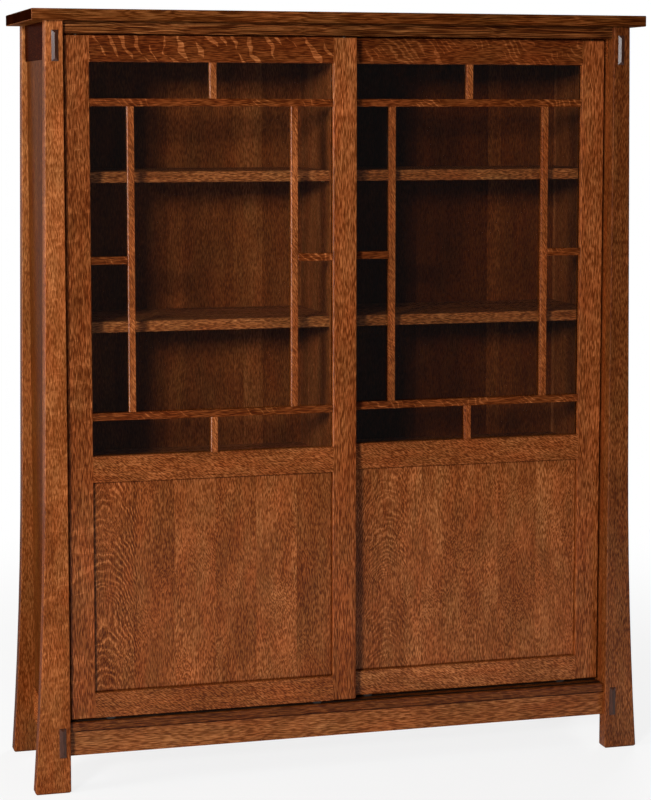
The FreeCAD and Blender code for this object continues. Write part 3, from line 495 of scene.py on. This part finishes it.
def arched_flakes(tree, here, knot_x, knot_z, seam, step, strength):
    """Lightness of the arched stave: flakes between the contour lines, one to each step, of a landscape.

    Its height is z + 20 x^2 - 0.07 exp(-(x^2 + z^2) / 0.04^2) and a small ripple, with x and z counted from
    the knot. The square makes the arches, and the dimple closes the lines round the knot to rings.
    """
    spots = split(tree, here)
    x, z = maths(tree, "SUBTRACT", spots["X"], knot_x), maths(tree, "SUBTRACT", spots["Z"], knot_z)
    x_square, z_square = maths(tree, "MULTIPLY", x, x), maths(tree, "MULTIPLY", z, z)
    away = maths(tree, "MULTIPLY", maths(tree, "ADD", x_square, z_square), -1 / DIMPLE_RADIUS**2)
    dimple = maths(tree, "MULTIPLY", maths(tree, "EXPONENT", away), DIMPLE_DEPTH)
    ripple = swing(tree, noise(tree, counted(tree, here, RIPPLES), detail=3.0), RIPPLE_SWING)
    height = summed(tree, z, maths(tree, "MULTIPLY", x_square, ARCH_CURVE), dimple, ripple)
    off = off_line(tree, height, step)
    patches = noise(tree, counted(tree, here, BOLD_PATCHES), detail=1.0)
    bold = slope(tree, patches, *BOLD_EDGE, FAINT_SHARE * strength, strength)
    flakes = maths(tree, "ADD", slope(tree, off, *FLAKE), slope(tree, off, *GROOVE))
    stave = slope(tree, spots["X"], seam, seam + SEAM_WIDTH, 1.0, 0.0)
    return maths(tree, "MULTIPLY", stave, maths(tree, "MULTIPLY_ADD", flakes, bold, ARCH_LIGHT * strength))


print("arched staves:", len(ARCHES))

# %% [markdown]
# ## Painted shade at joints, on flanks and on the back
#
# A thin dark line of painted shade follows each joint between a door's frame and its recessed panel, and
# the joint below the sill, where the sill's overhang would throw shade on the apron. Faces that look left or
# right can get painted shade of their own. On the back panel each stave's lightness is partly its stain and
# partly painted shade of the bays. All of this could be painted on a map, but the joints' places are known
# from the CAD boxes, so a few smooth steps along X or Z do it exactly.

# %% Painted shade at joints and on flanks, stain and painted shade on the back's staves
# The joint lines are painted shade: darkest at the joint, and gone a few millimetres from it.
CORNER_CORE, CORNER_LINE = 0.0008, 0.0045  # metres from a joint: dark up to the first, clean from the second
JOINT_SHADE_LIGHT = -0.9
FLANK_EDGE = (0.90, 0.98)  # how squarely a face has to look left or right to be a flank
# The back's staves are partly their stain and partly painted shade of the bays, darkest in the right bay.
BACK_STAVE_STAIN_AND_SHADE = (  # X of each seam in the back, and the lightness to the right of it
    (-0.700, -0.38),
    (-0.357, -0.18),
    (-0.187, 0.02),
    (-0.112, -0.32),
    (0.010, -1.35),
    (0.250, -1.25),
    (0.493, -0.60),
)
STAVE_SEAM = 0.001  # metres
# Only the inner face, which looks into the bays, gets the staves' stain and painted shade.
INNER_FACE = (-0.5, 0.5, 1.0, 0.0)  # Y of a face's direction, front to back, and the share of stain at each


def painted_joint_shade(tree, here, joints):
    """Painted shade in the corners: a thin dark line along each joint, which is an axis and a place on it.
    """
    spots = split(tree, here)
    lines = []
    for axis, place in joints:
        away = maths(tree, "ABSOLUTE", maths(tree, "SUBTRACT", spots[axis], place))
        lines.append(slope(tree, away, CORNER_CORE, CORNER_LINE, JOINT_SHADE_LIGHT, 0.0))
    return summed(tree, *lines)


def painted_flank_shade(tree, lightness):
    """Painted shade of its own for the faces that look left or right."""
    sideways = maths(tree, "ABSOLUTE", split(tree, facing(tree))["X"])
    return slope(tree, sideways, *FLANK_EDGE, 0.0, lightness)


def stave_stain_and_shade(tree, here, staves):
    """A lightness for each stave on the panel's inner face, partly its stain and partly painted shade. The
    outer face stays even.
    """
    x = split(tree, here)["X"]
    tones = []
    before = 0.0
    for seam, lightness in staves:
        tones.append(slope(tree, x, seam, seam + STAVE_SEAM, 0.0, lightness - before))
        before = lightness
    inside = slope(tree, split(tree, facing(tree))["Y"], *INNER_FACE)
    return maths(tree, "MULTIPLY", summed(tree, *tones), inside)


print("staves of the back with a stain of their own:", len(BACK_STAVE_STAIN_AND_SHADE))

# %% [markdown]
# ## The finish of one board
#
# The last step of a real finish is a clear lacquer. The wood under it gets no gloss of its own here, so a
# single number, the weight of the coat, says how much a board mirrors. One material for all boards would
# give each the same figure, so every board has a small one of its own that only feeds the group.

# %% Lacquered oak
EXTRAS = {  # what else a board can say, with the value where it says nothing
    "tone": 1.0,  # how light the stain came out: 0.5 is half as light as written
    "coat": 0.30,  # weight of the lacquer
    # This falloff paints light and shade into the colour: a board grows lighter or darker across it, as the
    # light on it would.
    "drift": (0.0, 0.0, 0.0),  # how much lighter the board gets with each metre along X, Y and Z
    # The flank setting paints shade on the faces that look left or right.
    "flank": 0.0,  # extra lightness on faces that look left or right
    "arches": None,  # a stave with arched flakes
    "staves": (),  # seams, and a lightness for each stave
    # joints that get a thin line of painted shade
    "dark_edges": (),  # joints with a dark line
    "dull_ends": False,  # end grain left without lacquer
}
OAK_RELIEF, OAK_RELIEF_HEIGHT = 0.4, 0.0004  # strength, and metres
WOOD_IOR = 1.45
LACQUER_ROUGH = 0.22


def own_stain_and_shade(tree, here, wants):
    """The board's lightness before the figure: its tone, its painted falloff of light and shade, and
    whatever it has as its own.
    """
    drift = vectors(tree, "DOT_PRODUCT", here, wants["drift"])
    parts = [maths(tree, "ADD", drift, math.log(wants["tone"]))]
    if wants["flank"]:
        parts.append(painted_flank_shade(tree, wants["flank"]))
    if wants["arches"]:
        parts.append(arched_flakes(tree, here, **wants["arches"]))
    if wants["staves"]:
        parts.append(stave_stain_and_shade(tree, here, wants["staves"]))
    if wants["dark_edges"]:
        parts.append(painted_joint_shade(tree, here, wants["dark_edges"]))
    return summed(tree, *parts)


def oak_board(name, way, **own):
    """The shared figure, turned and tuned for one board, under a thin clear lacquer."""
    wants = {**DIALS, **EXTRAS, **own}
    material, tree, out = new_material("oak " + name.replace("_", " "))
    inputs = {dial: wants[dial] for dial in DIALS}
    inputs["board"] = board_place(tree, way, name_number(name))
    inputs["lightness"] = own_stain_and_shade(tree, object_place(tree), wants)
    inputs["end grain"] = end_grain(tree, way)
    figure = lay(tree, "ShaderNodeGroup", node_tree=oak)
    for socket, value in inputs.items():
        feed(tree, figure.inputs[socket], value)
    skin = principled(
        tree,
        {
            "Base Color": figure.outputs["colour"],
            "Roughness": figure.outputs["roughness"],
            "Normal": relief(tree, figure.outputs["height"], OAK_RELIEF, OAK_RELIEF_HEIGHT),
            "IOR": WOOD_IOR,
            "Specular IOR Level": 0.0,
            "Coat Weight": wants["coat"],
            "Coat Roughness": LACQUER_ROUGH,
        },
    )
    if wants["dull_ends"]:
        raw = lay(tree, "ShaderNodeBsdfDiffuse", {"Color": figure.outputs["colour"]}).outputs["BSDF"]
        skin = mixed(tree, slope(tree, end_grain(tree, way), *END_EDGE), skin, raw)
    feed(tree, out.inputs["Surface"], skin)
    return material


print("things a board can say:", ", ".join([*DIALS, *EXTRAS]))

# %% [markdown]
# ## Which board gets which plank
#
# A maker sorts planks before cutting: bold fleck for the top rails and muntins, calm wood that flows for
# the big panels, plain stripes for the rest of the frames. This is that cutting list. For each board it says
# which way the grain runs, what sets its wood and stain apart, and what light and shade is painted on it.
# The numbers could be drawn by chance, but a written list can be read and changed board by board.

# %% The case
SHELF_WOOD = {"comb": 1.1, "stave": 0.10, "fleck": 0.15}
INNER_SIDE_WOOD = {"comb": 0.8, "flow": 0.010, "stave": 0.12, "coat": 0.02}


def plank(way, wood=(), **own):
    """A line of the cutting list: the way of the grain, the wood's numbers and this board's own."""
    return way, {**dict(wood), **own}


# The joint below the sill gets a line of painted shade on the sill and on the apron.
sill_joint = [("Z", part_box("front_apron")[1][2])]
# On these boards the falloff is painted light and shade across the board, and the flank setting is painted
# shade on faces that look left or right.
BOARDS = {
    "top_panel": plank(
        "shelf",
        {"comb": 1.3, "fleck": 0.0, "draw": 5.0, "olive": 0.4, "stave": 0.105},
        tone=0.46,
        coat=0.03,
        drift=(-0.36, 0.0, 0.0),
        dull_ends=True,
    ),
    "header_rail": plank(
        "rail",
        {"comb": 1.8, "fleck": 0.0, "cloud": 0.4, "draw": 9.0, "olive": 0.45},
        tone=0.385,
        drift=(-0.25, 0.0, 0.0),
    ),
    "middle_guide_strip": plank("rail", tone=0.5),
    "rear_guide_strip": plank("rail", tone=0.5),
    "front_left_leg": plank(
        "stile",
        {"comb": 0.8, "cloud": 1.6, "fleck": 0.2, "lean": 0.1, "olive": 0.1},
        tone=0.74,
        coat=0.12,
        drift=(0.0, 0.0, 0.28),
        flank=-0.5,
    ),
    "front_right_leg": plank(
        "stile",
        {"fleck": 0.08, "lean": 1.0, "olive": 0.25},
        tone=0.67,
        coat=0.4,
        drift=(0.0, 0.0, -0.20),
    ),
    "rear_left_leg": plank(
        "stile",
        {"comb": 0.8, "fleck": 0.1, "olive": 0.3},
        tone=0.55,
        coat=0.14,
        drift=(0.0, 0.0, 0.42),
        flank=-0.6,
    ),
    "rear_right_leg": plank("stile", comb=0.8, tone=1.00, coat=0.05),
    # The left upper side rail is far darker than the right one: partly its own stain and partly painted
    # shadow of the overhanging top.
    "left_upper_side_rail": plank("side rail", tone=0.10, coat=0.02),
    "right_upper_side_rail": plank("side rail", tone=0.60, coat=0.02),
    "left_lower_side_rail": plank("side rail", tone=0.75, coat=0.02),
    "right_lower_side_rail": plank("side rail", tone=0.75, coat=0.02),
    "left_side_panel": plank(
        "side", {"comb": 0.6, "fleck": 0.1, "olive": 0.45}, tone=0.36, coat=0.08, drift=(0.0, 1.3, 0.0)
    ),
    "right_side_panel": plank("side", INNER_SIDE_WOOD, tone=0.61),
    "centre_partition": plank("side", INNER_SIDE_WOOD, tone=0.70),
    "back_panel": plank(
        "stile", {"comb": 0.7, "fleck": 0.1, "stave": 0.23}, tone=0.70, coat=0.0, staves=BACK_STAVE_STAIN_AND_SHADE
    ),
    "case_bottom": plank("shelf", stave=0.11, tone=0.80),
    "sill": plank(
        "rail",
        {"fleck": 0.2, "lean": -0.9, "draw": 2.5, "olive": 0.3},
        tone=0.40,
        dark_edges=sill_joint,
    ),
    "front_apron": plank(
        "rail",
        {"fleck": 0.1, "lean": -0.9, "draw": 1.8, "olive": 0.25},
        tone=0.82,
        drift=(-0.06, 0.0, 0.0),
        dark_edges=sill_joint,
    ),
    "rear_apron": plank("rail", tone=0.80),
}
for bay, tone in (("left", 0.93), ("right", 0.67)):
    for level in ("lower", "middle", "upper", "fixed"):
        BOARDS[f"{bay}_{level}_shelf"] = plank("shelf", SHELF_WOOD, tone=tone)
print("boards of the case on the list:", len(BOARDS))

# %% [markdown]
# ### The doors' boards
#
# The doors are made alike, but from different planks. Boards that match are listed once for both, the
# others door by door. Each wood panel also gets its arched stave and dark lines of painted shade at its
# frame. The lines' places could be typed in, but read from the CAD boxes they stay right if a door's size
# changes.

# %% The doors
FLOWING = {"comb": 0.9, "cloud": 1.3, "fleck": 0.1, "olive": 0.12, "flow": 0.016, "stave": 0.10}
RIBBED = {"comb": 1.1, "fleck": 1.0, "lean": -0.5, "rib": 0.034, "draw": 1.7}
FINE_RIBBED = {**RIBBED, "fleck": 0.7, "lean": -1.0, "rib": 0.016}
TOP_RIBBED = {**RIBBED, "fleck": 0.6, "lean": -0.9, "rib": 0.020}
UPRIGHT_RIBBED = {"fleck": 0.35, "lean": -0.9, "rib": 0.012, "tilt": 0.4}
FLECKED_STILE = {"comb": 1.1, "fleck": 0.3, "lean": 0.3, "rib": 0.05, "draw": 1.5}
PLAIN_STILE = {"comb": 1.1, "fleck": 0.1, "draw": 1.5}
PLAIN_RAIL = {"comb": 1.1, "fleck": 0.15, "lean": -0.8, "draw": 0.7, "tilt": 0.45, "olive": 0.1}
DOORS = {  # boards that differ from door to door
    "left": {
        "right_stile": plank("stile", PLAIN_STILE, tone=0.57, drift=(0.0, 0.0, 0.25)),
        "top_rail": plank("rail", RIBBED, tone=0.40),
        "bottom_rail": plank("rail", PLAIN_RAIL, tone=0.76),
        "wood_panel": plank("stile", FLOWING, tone=0.74, drift=(-0.15, 0.0, 0.0)),
    },
    "right": {
        "right_stile": plank("stile", PLAIN_STILE, tone=0.77),
        "top_rail": plank("rail", TOP_RIBBED, tone=0.41),
        "bottom_rail": plank("rail", PLAIN_RAIL, tone=0.97),
        "wood_panel": plank("stile", FLOWING, tone=0.90),
    },
}
BOTH_DOORS = {
    "left_stile": plank("stile", FLECKED_STILE, tone=0.80),
    "mid_rail": plank("rail", PLAIN_RAIL, tone=0.78),
    "cross_muntins": plank("rail", FINE_RIBBED, tone=0.44),
    "upright_muntins": plank("stile", UPRIGHT_RIBBED, tone=0.88, coat=0.5),
    "glass_beads": plank("rail", fleck=0.1, tone=0.6),
}


def panel_joints(door):
    """Where the frame's inner edges meet the wood panel: two places on X and two on Z."""
    left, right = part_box(f"{door}_door_left_stile"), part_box(f"{door}_door_right_stile")
    bottom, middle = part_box(f"{door}_door_bottom_rail"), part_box(f"{door}_door_mid_rail")
    return [("X", left[1][0]), ("X", right[0][0]), ("Z", bottom[1][2]), ("Z", middle[0][2])]


for door, own_boards in DOORS.items():
    own_boards["wood_panel"][1].update(arches=ARCHES[door], dark_edges=panel_joints(door))
    for piece, board in {**own_boards, **BOTH_DOORS}.items():
        BOARDS[f"{door}_door_{piece}"] = board
print("boards on the whole list:", len(BOARDS))

# %% [markdown]
# ## Dress the boards
#
# A CAD piece comes with one slot or more for a finish. The pieces themselves mustn't change, so the finish
# goes into the slots and nothing else is touched.

# %% Dress the boards


def dress(node_name, material):
    """Puts a material in every material slot of a CAD piece."""
    for slot in nodes[node_name].material_slots:
        slot.material = material


for node_name, (way, own) in BOARDS.items():
    dress(node_name, oak_board(node_name, way, **own))
print("boards finished:", len(BOARDS))

# %% [markdown]
# ## Dark tenon ends
#
# Four long pegs of near-black wood stand a little proud of the front legs, each with a hipped top that
# catches the light on one facet. A plain black would look like plastic there. This finish keeps fine lines
# along the grain and a hint of red, and it is polished: smoother than the oak, under a stronger coat.

# %% Ebony for the tenon ends
EBONY_NUMBER = 11  # the seed of its place in the log
EBONY_LINE_SIZE = (0.030, 0.0012)  # metres along the grain and across it
EBONY_DARK, EBONY_LIGHT = (52, 28, 18), (74, 40, 26)
EBONY_LINE_EDGE = (0.35, 0.70)  # noise from dark to light
EBONY_ROUGH = (0.3, 0.7, 0.22, 0.32)  # noise from smooth to rough, and the roughness of each
EBONY_RELIEF, EBONY_RELIEF_HEIGHT = 0.15, 0.0003  # strength, and metres
EBONY_SPECULAR = 0.1
EBONY_COAT, EBONY_COAT_ROUGH = 0.6, 0.06


def ebony():
    """Near-black brown wood: fine lines along the grain, a hint of red in the light, polished."""
    material, tree, out = new_material("polished dark wood")
    place = board_place(tree, "stile", EBONY_NUMBER)
    lines = noise(tree, stretched(tree, place, EBONY_LINE_SIZE), detail=3.0)
    # Inputs 6 and 7 of a Mix node are its two colours, and output 2 is the colour mixed of them.
    colours = {0: slope(tree, lines, *EBONY_LINE_EDGE), 6: srgb(*EBONY_DARK), 7: srgb(*EBONY_LIGHT)}
    shade = lay(tree, "ShaderNodeMix", colours, data_type="RGBA")
    skin = principled(
        tree,
        {
            "Base Color": shade.outputs[2],
            "Roughness": slope(tree, lines, *EBONY_ROUGH),
            "Normal": relief(tree, lines, EBONY_RELIEF, EBONY_RELIEF_HEIGHT),
            "Specular IOR Level": EBONY_SPECULAR,
            "Coat Weight": EBONY_COAT,
            "Coat Roughness": EBONY_COAT_ROUGH,
        },
    )
    feed(tree, out.inputs["Surface"], skin)
    return material


dress("tenon_plugs", ebony())
print("tenon ends finished")

# %% [markdown]
# ## Glass
#
# Each door has one pane behind its muntins. Real glass bends light a little and mirrors more of it at a
# slant, which the Principled shader does with full transmission. Path tracing makes such glass cast a dark
# shadow, so the shadow and bounce rays are let straight through with a Transparent shader, and the shelves
# behind the pane are lit.

# %% Window glass
PANE_TINT = (244, 248, 246)
PANE_RIPPLES = (2.5, 2.5, 1.5)  # to the metre
PANE_RELIEF, PANE_RELIEF_HEIGHT = 0.02, 0.0003  # strength, and metres
PANE_SMEARS = (9.0, 9.0, 6.0)  # to the metre
PANE_ROUGH = (0.4, 0.7, 0.0, 0.008)  # noise from clear to smeared, and the roughness of each
PANE_IOR = 1.45


def window_glass():
    """Clear glass with a faint waviness. Light rays that only carry brightness pass it unbent."""
    material, tree, out = new_material("window glass")
    place = object_place(tree)
    ripple = noise(tree, counted(tree, place, PANE_RIPPLES), detail=0.0)
    smears = noise(tree, counted(tree, place, PANE_SMEARS), detail=3.0)
    glass = principled(
        tree,
        {
            "Base Color": srgb(*PANE_TINT),
            "Roughness": slope(tree, smears, *PANE_ROUGH),
            "Normal": relief(tree, ripple, PANE_RELIEF, PANE_RELIEF_HEIGHT),
            "Transmission Weight": 1.0,
            "IOR": PANE_IOR,
        },
    )
    clear = lay(tree, "ShaderNodeBsdfTransparent", {"Color": srgb(*PANE_TINT)}).outputs["BSDF"]
    rays = tree.nodes.new("ShaderNodeLightPath").outputs
    bright_only = maths(tree, "MAXIMUM", rays["Is Shadow Ray"], rays["Is Diffuse Ray"])
    feed(tree, out.inputs["Surface"], mixed(tree, bright_only, glass, clear))
    return material


glass = window_glass()
for door in DOORS:
    dress(f"{door}_door_glass", glass)
print("panes glazed:", len(DOORS))

# %% [markdown]
# ## Rollers, tracks and pins
#
# The doors run on small black nylon rollers in two shallow steel channels, and brass pins carry the loose
# shelves. Metal shows the way it was drawn or turned, as fine scratches in one direction, and nylon has a
# dull even skin. One function makes all three, because they differ only in numbers: where scratches lie
# close on an axis, they run across it.

# %% Metals and nylon
DENTS = (40.0, 40.0, 40.0)  # to the metre
SCRATCH_EDGE = (0.3, 0.7)  # noise from smooth to scratched
SCRATCH_RELIEF, SCRATCH_HEIGHT = 0.2, 0.0001  # strength, and metres
METAL_SPREAD, NYLON_SPREAD = 0.12, 0.05  # how far the colour wanders


def worked_surface(name, colour, metal, scratches, rough, spread):
    """A metal or plastic skin, with its scratches to the metre on X, Y and Z and its two roughnesses.

    The colour is scaled by 1 + 2 spread (dents - 0.5) + spread (scratches - 0.5), both soft noise.
    """
    material, tree, out = new_material(name)
    place = object_place(tree)
    fine = noise(tree, counted(tree, place, scratches), detail=2.0)
    broad = noise(tree, counted(tree, place, DENTS), detail=2.0)
    wear = maths(tree, "MULTIPLY_ADD", maths(tree, "SUBTRACT", broad, 0.5), spread * 2, 1.0)
    wear = maths(tree, "MULTIPLY_ADD", maths(tree, "SUBTRACT", fine, 0.5), spread, wear)
    worn = joined(tree, X=wear, Y=wear, Z=wear)
    skin = principled(
        tree,
        {
            "Base Color": vectors(tree, "MULTIPLY", worn, srgb(*colour)[:3]),
            "Roughness": slope(tree, fine, *SCRATCH_EDGE, *rough),
            "Normal": relief(tree, fine, SCRATCH_RELIEF, SCRATCH_HEIGHT),
            "Metallic": metal,
        },
    )
    feed(tree, out.inputs["Surface"], skin)
    return material


steel = worked_surface("blackened steel", (58, 52, 48), 1.0, (30, 900, 900), (0.35, 0.50), METAL_SPREAD)
brass = worked_surface("turned brass", (178, 138, 72), 1.0, (900, 900, 60), (0.25, 0.40), METAL_SPREAD)
nylon = worked_surface("black nylon", (38, 36, 34), 0.0, (300, 300, 300), (0.40, 0.55), NYLON_SPREAD)
dress("door_tracks", steel)
dress("shelf_pins", brass)
for door in DOORS:
    dress(f"{door}_door_axles", steel)
    dress(f"{door}_door_guide_pins", steel)
    dress(f"{door}_door_left_roller", nylon)
    dress(f"{door}_door_right_roller", nylon)
bare = []
for name, piece in nodes.items():
    if not all(slot.material.use_nodes for slot in piece.material_slots):
        bare.append(name)
print("pieces still bare:", bare)

# %% [markdown]
# ## Floor
#
# The bookcase stands on a plain pale floor that takes its shadow. A square sheet would show its corners and
# an edge against the white behind it. This one is a disc, and for the camera it also glows plain white: in
# part under the bookcase, where the shadow has to show, and wholly from some way out, so no edge is seen.

# %% Floor finish
FLOOR_MOTTLES = (3.0, 3.0, 3.0)  # to the metre
FLOOR_SHADE = (0.3, 0.7, 0.86, 0.90)  # noise from dark to light, and the light each throws back
FLOOR_GLOW = (1.2, 3.2, 0.82, 1.0)  # metres from the middle, and the share of plain white at each


def floor_finish():
    """White with a faint mottle, part of it plain white to the camera, so that its edge can't be told."""
    material, tree, out = new_material("pale floor")
    place = object_place(tree)
    shade = slope(tree, noise(tree, counted(tree, place, FLOOR_MOTTLES), detail=3.0), *FLOOR_SHADE)
    matt = lay(tree, "ShaderNodeBsdfDiffuse", {"Color": joined(tree, X=shade, Y=shade, Z=shade)})
    glow = lay(tree, "ShaderNodeEmission", {"Color": WHITE, "Strength": 1.0})
    rays = tree.nodes.new("ShaderNodeLightPath").outputs
    far = slope(tree, vectors(tree, "LENGTH", place), *FLOOR_GLOW)
    share = maths(tree, "MULTIPLY", rays["Is Camera Ray"], far)
    feed(tree, out.inputs["Surface"], mixed(tree, share, matt.outputs["BSDF"], glow.outputs["Emission"]))
    return material


pale = floor_finish()
print("floor finish:", pale.name)

# %% [markdown]
# ### The sheet itself
#
# Blender offers a ready circle. This one is worked out from two numbers instead, the ring and the spoke,
# because that is how any round surface can be made: each point is a distance and a direction from the
# middle.

# %% Floor sheet
FLOOR_RADIUS = 3.6  # metres
FLOOR_RINGS, FLOOR_SPOKES = 12, 96


def round_sheet(name, radius, material, rings, spokes):
    """A flat disc on polar rings: a point is share * radius * (cos angle, sin angle, 0).

    The share grows from ring to ring up to 1, the angle from spoke to spoke. The last point is the middle.
    """
    share = np.linspace(0.0, 1.0, rings + 1)[1:, None]
    angle = np.linspace(0.0, 2 * np.pi, spokes, endpoint=False)[None, :]
    axes = np.broadcast_arrays(share * np.cos(angle), share * np.sin(angle), 0.0)
    points = np.vstack([radius * np.stack(axes, axis=-1).reshape(-1, 3), [[0.0, 0.0, 0.0]]])
    ring, spoke = np.meshgrid(np.arange(rings - 1), np.arange(spokes), indexing="ij")
    here = ring * spokes + spoke
    after = ring * spokes + (spoke + 1) % spokes
    squares = np.stack([here, here + spokes, after + spokes, after], axis=-1).reshape(-1, 4)
    first = np.arange(spokes)
    middle = np.stack([np.full(spokes, len(points) - 1), first, (first + 1) % spokes], axis=-1)
    mesh = bpy.data.meshes.new(name)
    mesh.from_pydata(points.tolist(), [], squares.tolist() + middle.tolist())
    mesh.materials.append(material)
    sheet = bpy.data.objects.new(name, mesh)
    bpy.context.scene.collection.objects.link(sheet)
    return sheet


floor = round_sheet("floor", FLOOR_RADIUS, pale, FLOOR_RINGS, FLOOR_SPOKES)
print("floor faces:", len(floor.data.polygons))

# %% [markdown]
# ## Lamps
#
# A furniture maker wants soft light that comes in almost level, so that it reaches the backs of the shelves
# and the overhanging top throws only a narrow shadow. Small lamps would draw hard shadows, so all four are
# wide or tall Area lamps. The key stands well off at the front left, a metre higher than the bookcase. A
# tall lamp at the far left wakes the left side and the left edges of the glazing bars, a narrow one near
# the camera puts a gleam on the tenon ends, and a large one behind, at the right, lights the back.

# %% Lamps
LAMPS = {  # where each lamp stands, the point that it faces, its width and height, and its watts
    "key": ((-4.9, -6.8, 2.8), (0.0, 0.0, 0.9), (1.3, 1.1), 595),
    "camera side": ((-1.38, -8.0, 1.99), (0.7, -0.2, 1.75), (0.32, 1.8), 20),
    "left strip": ((-4.0, -0.8, 1.2), (-0.7, -0.1, 0.9), (0.9, 2.2), 92),
    "behind": ((3.6, 5.4, 3.4), (0.3, 0.2, 1.0), (2.4, 1.8), 230),
}


def softbox(name, at, towards, size, watts):
    """A rectangular lamp at a place, facing a point. It lights the scene but isn't seen itself."""
    light = bpy.data.lights.new(name, "AREA")
    light.shape = "RECTANGLE"
    light.size, light.size_y = size
    light.energy = watts
    lamp = bpy.data.objects.new(name, light)
    lamp.location = at
    lamp.rotation_euler = (Vector(towards) - Vector(at)).to_track_quat("-Z", "Y").to_euler()
    lamp.visible_camera = False
    bpy.context.scene.collection.objects.link(lamp)


for name, lamp in LAMPS.items():
    softbox(name, *lamp)
print("lamps:", len(LAMPS), "with", sum(lamp[-1] for lamp in LAMPS.values()), "watts in all")

# %% [markdown]
# ## Room
#
# Around the lamps a real studio has pale walls, which fill every shadow a little. One even grey would do
# for light, but the camera wants a white background, and panes that mirror a bright room turn milky. So the
# world gives each kind of ray its own room: white for the camera, grey for light, and for mirrors and glass
# a room that is dim at the front and white behind.

# %% Room
ROOM_LIGHT = 0.16
MIRROR_ROOM = (0.0, 0.8, 0.05, 1.0)  # Y of a ray's way, from sideways to backwards, and the light at each


def studio_room():
    """White where the camera looks, an even grey as a light, and dim at the front for mirrors and glass."""
    world = bpy.data.worlds.new("studio")
    world.use_nodes = True
    bpy.context.scene.world = world
    tree = world.node_tree
    tree.nodes.clear()
    rays = tree.nodes.new("ShaderNodeLightPath").outputs
    way = split(tree, tree.nodes.new("ShaderNodeTexCoord").outputs["Generated"])
    mirrored = slope(tree, way["Y"], *MIRROR_ROOM)
    clear = maths(tree, "MAXIMUM", rays["Is Glossy Ray"], rays["Is Transmission Ray"])
    level = maths(tree, "MULTIPLY_ADD", clear, maths(tree, "SUBTRACT", mirrored, ROOM_LIGHT), ROOM_LIGHT)
    level = maths(tree, "MAXIMUM", level, rays["Is Camera Ray"])
    room = lay(tree, "ShaderNodeBackground", {"Color": WHITE, "Strength": level})
    out = tree.nodes.new("ShaderNodeOutputWorld")
    feed(tree, out.inputs["Surface"], room.outputs["Background"])


studio_room()
bpy.context.scene.view_settings.view_transform = "Standard"
print("room light:", ROOM_LIGHT)

# %% [markdown]
# ## Camera
#
# Furniture looks right when its upright lines stay nearly upright. A near camera would make them lean, so
# this one stands back at the front left with a long lens and looks down only a little. The small shift
# frames the bookcase without tilting the lens any more.

# %% Camera
YAW, PITCH, ROLL = 0.27637, 0.10123, 0.00056  # radians
LENS, SENSOR, SHIFT_Y = 99.757, 36.0, -0.0806  # millimetres, millimetres, and a share of the frame
STAND = Vector((-1.4889, -5.24598, 1.59952))
SIGHT = 200.0  # metres

forward = Vector((math.sin(YAW) * math.cos(PITCH), math.cos(YAW) * math.cos(PITCH), -math.sin(PITCH)))
level_right = Vector((math.cos(YAW), -math.sin(YAW), 0.0))
upright = level_right.cross(forward)
right = math.cos(ROLL) * level_right + math.sin(ROLL) * upright
up = math.cos(ROLL) * upright - math.sin(ROLL) * level_right

optics = bpy.data.cameras.new("camera")
optics.sensor_fit, optics.sensor_width = "AUTO", SENSOR
optics.lens, optics.shift_y = LENS, SHIFT_Y
optics.clip_end = SIGHT
camera = bpy.data.objects.new("camera", optics)
turn = Matrix((right, up, -forward)).transposed().to_4x4()
camera.matrix_world = Matrix.Translation(STAND) @ turn
bpy.context.scene.collection.objects.link(camera)
bpy.context.scene.camera = camera
print("camera stands", round(STAND.length, 2), "m from the middle of the floor")
